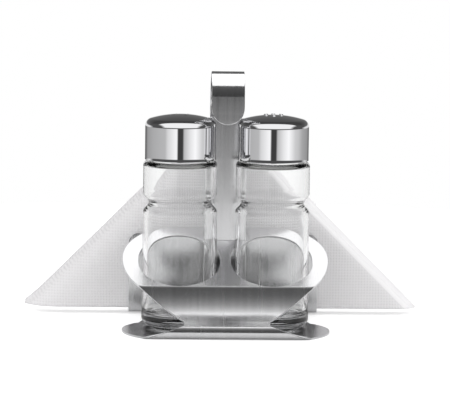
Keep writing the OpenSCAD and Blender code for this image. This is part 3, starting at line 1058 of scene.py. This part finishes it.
def open_napkin(s, fold):
    """The open napkin as a fine grid, divided along its folds and near its edges."""
    half = s.side / 2
    sheet = bmesh.new()
    cells = round(s.side / s.cell)
    bmesh.ops.create_grid(sheet, x_segments=cells, y_segments=cells, size=half)
    # Lines along each fold and just past its roundings, then across the bottom fold's quarter turns
    beside = 1.7 * fold.pitch * QUARTER
    cuts = [(across, offset) for across in ((1, 0), (0, 1)) for offset in (-beside, 0, beside)]
    slant = sqrt(0.5)
    for part in (0, 0.35, 0.7, 1.05):
        offset = fold.outer * QUARTER * part
        for side in (1, -1) if offset else (1,):
            cuts += [((slant, slant), side * offset), ((slant, -slant), side * offset)]
    for (across, along), offset in cuts:
        at = Vector((fold.fold_u + across * offset, fold.fold_v + along * offset, 0))
        divide(sheet, at, (across, along, 0))
    # Lines in the strip that leans back
    for across in (Vector((1, 0, 0)), Vector((0, 1, 0))):
        for part in (0.3, 0.6, 1):
            for side in (-1, 1):
                divide(sheet, across * side * (half - s.open_reach * part), across)
    bmesh.ops.remove_doubles(sheet, verts=sheet.verts[:], dist=2e-5)
    lay_grain(sheet)
    return sheet


class CONDIMENT_OT_napkins(bpy.types.Operator):
    """Adds the folded napkins in their channel"""

    bl_idname = "condiment.napkins"
    bl_label = "Napkins"

    def execute(self, context):
        s = context.scene.condiment_napkin
        paper = embossed_paper("embossed_white_paper", s.colour, s.side / 2, s.border)
        for order, node in enumerate(NAPKINS):
            low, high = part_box(node)
            fold = FoldedNapkin(s, low, high, order)
            sheet = open_napkin(s, fold)
            for corner in sheet.verts:
                corner.co = fold.place(corner.co.x, corner.co.y)
            bmesh.ops.recalc_face_normals(sheet, faces=sheet.faces[:])
            piece = finished(f"folded_{node}", sheet, paper, "napkins", [node], sharp=80)
            solidify = piece.modifiers.new("Tissue", "SOLIDIFY")
            solidify.thickness = s.gauge
            solidify.offset = 0
        return {"FINISHED"}


# The studio


class CONDIMENT_OT_stage(bpy.types.Operator):
    """Adds the floor, the studio's surroundings, its lamps and the camera"""

    bl_idname = "condiment.stage"
    bl_label = "Studio"

    def execute(self, context):
        scene = context.scene
        scene.view_settings.view_transform = "Standard"
        add_floor()
        add_surroundings(scene)
        add_lamps()
        add_camera(scene)
        return {"FINISHED"}


def add_camera(scene):
    """A long lens a little above the object and a little to its left."""
    target = Vector((-0.0007, 0, 0.0725))
    distance, side, height, roll = 1.352, radians(-2), radians(7.37), radians(0.75)
    back = Vector((sin(side) * cos(height), -cos(side) * cos(height), sin(height)))
    data = bpy.data.cameras.new("camera")
    data.lens = 188.7
    data.clip_start, data.clip_end = 0.05, 20
    camera = linked("camera", data)
    turn = (-back).to_track_quat("-Z", "Y").to_matrix() @ Matrix.Rotation(roll, 3, "Z")
    camera.matrix_world = Matrix.Translation(target + back * distance) @ turn.to_4x4()
    scene.camera = camera


FLOOR_RADIUS = 0.55
FLOOR_GLOW = 0.5  # Lifts the floor to the white of the surroundings, for the camera alone


def add_floor():
    """A round white table top under the object."""
    flat = bmesh.new()
    bmesh.ops.create_circle(flat, cap_ends=True, segments=96, radius=FLOOR_RADIUS)
    floor = linked("floor", as_mesh("floor", flat))
    finish = Finish("floor_white")
    finish.set(base_color=(0.8, 0.8, 0.8, 1.0), roughness=0.9)
    seen = finish.add("ShaderNodeLightPath").outputs["Is Camera Ray"]
    strength = finish.span(seen, 0, 1, 0, FLOOR_GLOW)
    glow = finish.add("ShaderNodeEmission", {"Color": (1, 1, 1, 1), "Strength": strength})
    both = finish.add("ShaderNodeAddShader", {0: finish.shader.outputs[0], 1: glow.outputs[0]})
    finish.feed(finish.output.inputs["Surface"], both.outputs[0])
    floor.data.materials.append(finish.material)


# Polished and brushed pieces reflect levels of their own, given as (degrees, level). These are the
# levels at and below the horizon, by the angle round the object from the camera's side
MIRROR_TABLE = (
    (-180, 0.90), (-172, 0.30), (-156, 0.09), (-134, 0.38), (-100, 0.48), (-72, 0.53), (-52, 0.56),
    (-43, 0.79), (-19, 1.06), (-13, 1.10), (-9, 0.055), (6, 0.055), (11, 0.59), (30, 0.92),
    (48, 1.14), (73, 0.72), (86, 0.65), (105, 0.45), (138, 0.34), (155, 0.14), (172, 0.30),
    (180, 0.90),
)
BRUSHED_TABLE = (
    (-180, 0.90), (-160, 0.30), (-100, 0.48), (-45, 0.66),
    (45, 0.66), (100, 0.48), (160, 0.30), (180, 0.90),
)

# The levels above the horizon, from the camera's side over the top to the back
MIRROR_ARCH = (
    (0, 0.08), (2, 0.08), (5, 1.05), (82, 1.05), (87, 0.07), (126, 0.055), (150, 0.10), (172, 0.17),
    (178, 0.5), (180, 0.85),
)
BRUSHED_ARCH = (
    (0, 0.05), (30, 0.08), (50, 0.12), (60, 0.19), (75, 0.36), (90, 0.75), (98, 1.5), (124, 1.5),
    (130, 0.6), (138, 0.20), (146, 0.10), (172, 0.17), (180, 0.6),
)

# The rest goes by parts of a unit direction. First the heights at which the levels above take over
BRUSHED_HORIZON, MIRROR_HORIZON = (-0.13, -0.085), (-0.093, -0.083)
# Dark walls beyond the softbox's ends, and a light backdrop low behind the object
WALL_LEVEL, SOFTBOX_END = 0.09, (0.78, 0.9)
BACKDROP_LEVEL, BACKDROP_START, BACKDROP_TOP = 0.85, (0.2, 0.5), (0.05, 0.13)
DIFFUSE_LEVEL = 0.85
# Glass sees a band well above the horizon darker, and also what it sees after a reflection
BAND_DROP, BAND_LOW, BAND_HIGH = 0.2, (0.22, 0.34), (0.64, 0.74)
REFLECTED_DROP = 0.1


def add_surroundings(scene):
    """White all round for the eye, and a softbox, a table and dark walls for reflections."""
    world = bpy.data.worlds.new("studio")
    world.use_nodes = True
    scene.world = world
    studio = Wiring(world.node_tree)
    across, away, up = studio.apart(studio.add("ShaderNodeTexCoord").outputs["Generated"])
    toward = studio.math("MULTIPLY", away, -1)
    around = studio.math("ARCTAN2", across, toward)
    over = studio.math("ARCTAN2", up, toward)
    wide = studio.span(studio.math("ABSOLUTE", across), *SOFTBOX_END, 1, 0)
    low = studio.span(up, *BACKDROP_TOP, 1, 0)
    behind = studio.math("MULTIPLY", studio.span(away, *BACKDROP_START, 0, 1), low)
    path = studio.add("ShaderNodeLightPath").outputs
    sharp = path["Is Singular Ray"]

    def levels(turn, start, brushed, mirror):
        """The level at an angle between a start and half a turn, for brushed and mirror pieces."""
        factor = studio.span(turn, start, pi, 0, 1)
        ramps = []
        for stops in (brushed, mirror):
            shares = [((radians(place) - start) / (pi - start), level) for place, level in stops]
            ramps.append(studio.ramp(factor, shares))
        return studio.blended(sharp, *ramps)

    above = studio.blended(wide, WALL_LEVEL, levels(over, 0, BRUSHED_ARCH, MIRROR_ARCH))
    above = studio.blended(behind, above, BACKDROP_LEVEL)
    table = levels(around, -pi, BRUSHED_TABLE, MIRROR_TABLE)
    horizon = [studio.blended(sharp, *ends) for ends in zip(BRUSHED_HORIZON, MIRROR_HORIZON)]
    glossy = studio.blended(studio.span(up, *horizon, 0, 1), table, above)
    band = studio.span(up, *BAND_HIGH, BAND_DROP, 0)
    band = studio.math("MULTIPLY", studio.span(up, *BAND_LOW, 0, 1), band)
    reflected = studio.span(path["Glossy Depth"], 0, 1, 0, REFLECTED_DROP)
    through = studio.math("SUBTRACT", 1.0, studio.math("MAXIMUM", reflected, band))
    plain = studio.blended(path["Is Camera Ray"], DIFFUSE_LEVEL, 1.0)
    seen = studio.blended(path["Is Glossy Ray"], plain, glossy)
    seen = studio.blended(path["Is Transmission Ray"], seen, through)
    colour = studio.add("ShaderNodeCombineColor", {0: seen, 1: seen, 2: seen}).outputs[0]
    studio.feed(studio.tree.nodes["Background"].inputs["Color"], colour)


STRIP_LAMP = "softbox_strip"


def area_lamp(name, place, target, width, depth, power):
    """A softbox that faces a point."""
    place = Vector(place)
    data = bpy.data.lights.new(name, "AREA")
    data.shape = "RECTANGLE"
    data.size, data.size_y = width, depth
    data.energy = power
    lamp = linked(name, data)
    lamp.matrix_world = aimed(place, Vector(target) - place, "-Z")
    return lamp


def add_lamps():
    """Softboxes overhead and in front for the dull surfaces, and one for the handle alone."""
    for name, place, size, power in (
        ("softbox_above", (0, 0.05, 1.1), 1.2, 5.0),
        ("softbox_front", (-0.5, -1.2, 0.6), 0.8, 1.2),
    ):
        lamp = area_lamp(name, place, (0, 0, 0.06), size, size, power)
        lamp.visible_glossy = False
        lamp.visible_transmission = False
    strip = area_lamp(
        STRIP_LAMP, (0, -0.04, 0.74), target=(0, 0, 0.14), width=0.6, depth=0.89, power=2.3
    )
    strip.light_linking.receiver_collection = bpy.data.collections.new(STRIP_LAMP)


class CONDIMENT_PT_panel(bpy.types.Panel):
    """Lists the pieces of the condiment set"""

    bl_idname = "CONDIMENT_PT_panel"
    bl_label = "Condiment Set"
    bl_space_type = "VIEW_3D"
    bl_region_type = "UI"
    bl_category = "Condiment Set"

    def draw(self, context):
        for group_name in SETTINGS:
            group = getattr(context.scene, group_name)
            box = self.layout.box()
            for field in group.__annotations__:
                box.prop(group, field)
        for operator in OPERATORS:
            self.layout.operator(operator.bl_idname)


OPERATORS = (
    CONDIMENT_OT_stage,
    CONDIMENT_OT_stand,
    CONDIMENT_OT_handle,
    CONDIMENT_OT_napkin_holder,
    CONDIMENT_OT_jars,
    CONDIMENT_OT_caps,
    CONDIMENT_OT_napkins,
)


def register():
    """Registers the settings, operators and panel."""
    for cls in (*SETTINGS.values(), *OPERATORS, CONDIMENT_PT_panel):
        bpy.utils.register_class(cls)
    for name, group in SETTINGS.items():
        setattr(bpy.types.Scene, name, PointerProperty(type=group))


def unregister():
    """Takes them away again."""
    for name in SETTINGS:
        delattr(bpy.types.Scene, name)
    for cls in reversed((*SETTINGS.values(), *OPERATORS, CONDIMENT_PT_panel)):
        bpy.utils.unregister_class(cls)


def main():
    """Builds the scene."""
    register()
    for operator in OPERATORS:
        group, name = operator.bl_idname.split(".")
        getattr(getattr(bpy.ops, group), name)()


if __name__ == "__main__":
    main()
